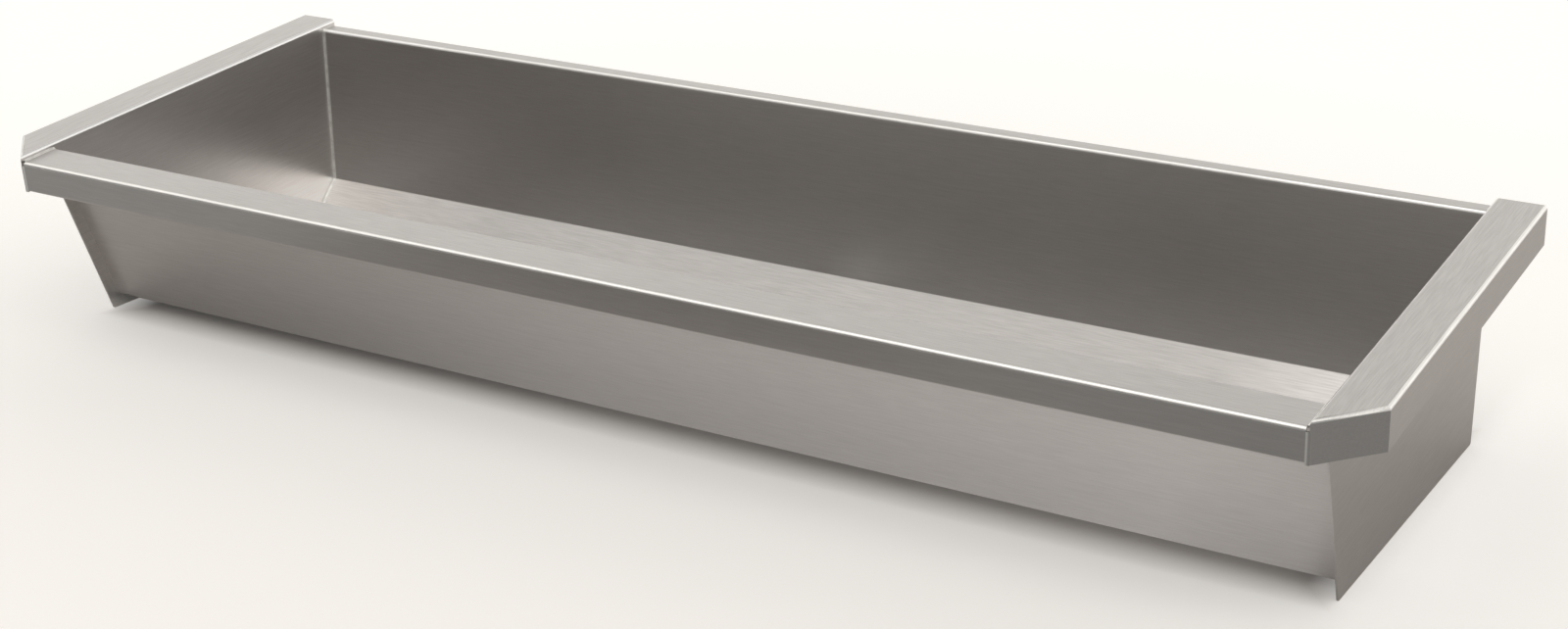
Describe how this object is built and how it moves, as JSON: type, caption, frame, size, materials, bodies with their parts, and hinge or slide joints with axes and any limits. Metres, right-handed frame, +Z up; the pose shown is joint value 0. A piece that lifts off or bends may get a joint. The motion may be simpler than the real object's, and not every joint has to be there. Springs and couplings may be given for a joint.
{
  "type": "trough sink",
  "caption": "Wall-hung wash trough folded from sheet steel, with flanged end panels, wall brackets and a screwed bottom waste.",
  "frame": {"origin": "on the wall plane, at the centre of the four wall fixing holes, in the middle of the trough's length; the rim's top is 70 mm above it", "axes": "+X along the trough to the right as seen from its user's side, +Y into the wall, +Z up"},
  "size_m": [1.2, 0.4043, 0.2333],
  "materials": {
    "basin_steel": "satin, fine grain along the trough",
    "ground_weld": "ground and polished weld",
    "waste_steel": "polished",
    "chromed_brass": "chrome plated",
    "seal_rubber": "matt black",
    "buffer_rubber": "matt black",
    "pad_rubber": "matt grey bitumen felt",
    "zinc_plate": "zinc plated sheet",
    "zinc_fastener": "bright zinc plated",
    "tag_steel": "plain stainless"
  },
  "bodies": {
    "root": {"trough_body": "basin_steel", "left_end_panel": "basin_steel", "right_end_panel": "basin_steel", "left_end_weld": "ground_weld", "right_end_weld": "ground_weld", "left_corner_weld": "ground_weld", "right_corner_weld": "ground_weld", "waste_strainer": "waste_steel", "waste_screw": "chromed_brass", "waste_upper_seal": "seal_rubber", "waste_lower_seal": "seal_rubber", "waste_body": "chromed_brass", "left_wall_bracket": "zinc_plate", "right_wall_bracket": "zinc_plate", "left_buffer": "buffer_rubber", "right_buffer": "buffer_rubber", "buffer_washers": "zinc_fastener", "buffer_screws": "zinc_fastener", "left_sound_pad": "pad_rubber", "right_sound_pad": "pad_rubber", "earth_tag": "tag_steel", "earth_bolt": "zinc_fastener", "earth_washers": "zinc_fastener", "earth_nut": "zinc_fastener"}
  },
  "joints": []
}
